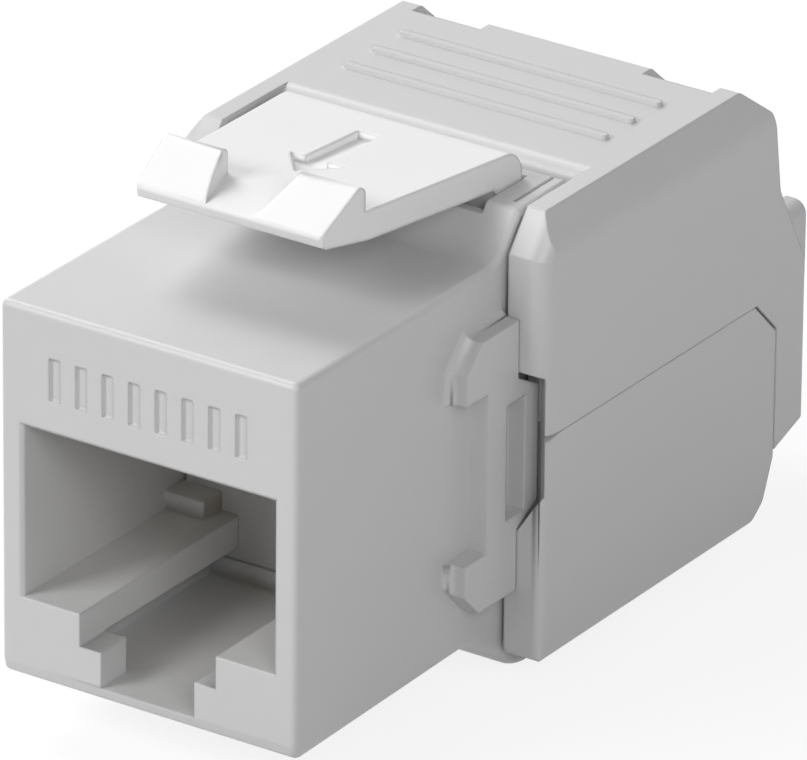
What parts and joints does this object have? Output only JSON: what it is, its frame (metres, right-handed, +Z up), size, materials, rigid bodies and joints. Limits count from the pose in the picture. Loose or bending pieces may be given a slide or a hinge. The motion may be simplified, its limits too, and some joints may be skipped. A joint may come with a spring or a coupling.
{
  "type": "keystone jack",
  "caption": "Tool-free keystone jack: light grey housing with an eight-contact plug port, white snap latch and clamshell covers over the wire terminals.",
  "frame": {"origin": "middle of the bottom edge of the front face, where the face and the underside meet", "axes": "+Y from the front face towards the cable, +Z up towards the snap latch, +X to the right seen from the front"},
  "size_m": [0.0186, 0.0419, 0.024],
  "materials": {
    "housing_plastic": "satin",
    "latch_plastic": "satin",
    "inner_plastic": "satin",
    "board": "solder mask",
    "contact_gold": "gold plated",
    "blade_metal": "tin plated"
  },
  "bodies": {
    "jack_body": {"front_housing": "housing_plastic", "contact_sled": "inner_plastic", "circuit_board": "board", "terminal_block": "inner_plastic", "pair_separator": "inner_plastic", "spring_contact_1": "contact_gold", "spring_contact_2": "contact_gold", "spring_contact_3": "contact_gold", "spring_contact_4": "contact_gold", "spring_contact_5": "contact_gold", "spring_contact_6": "contact_gold", "spring_contact_7": "contact_gold", "spring_contact_8": "contact_gold", "terminal_blade_1": "blade_metal", "terminal_blade_2": "blade_metal", "terminal_blade_3": "blade_metal", "terminal_blade_4": "blade_metal", "terminal_blade_5": "blade_metal", "terminal_blade_6": "blade_metal", "terminal_blade_7": "blade_metal", "terminal_blade_8": "blade_metal"},
    "latch": {"snap_latch": "latch_plastic"},
    "upper_shell": {"upper_cover": "housing_plastic"},
    "lower_shell": {"lower_cover": "housing_plastic"}
  },
  "joints": [
    {"name": "latch_press", "type": "hinge", "parent": "jack_body", "child": "latch", "pos_m": [0, 0.0178, 0.0172], "axis": [1, 0, 0], "range_deg": [0, 12], "stiffness_Nm_per_rad": 0.03},
    {"name": "upper_cover_open", "type": "hinge", "parent": "jack_body", "child": "upper_shell", "pos_m": [0, 0.016, 0.0162], "axis": [1, 0, 0], "range_deg": [0, 60]},
    {"name": "lower_cover_open", "type": "hinge", "parent": "jack_body", "child": "lower_shell", "pos_m": [0, 0.016, 0.00115], "axis": [1, 0, 0], "range_deg": [-60, 0]}
  ],
  "couplings": [
    {"joint": "upper_cover_open", "follows": "lower_cover_open", "ratio": -1}
  ]
}
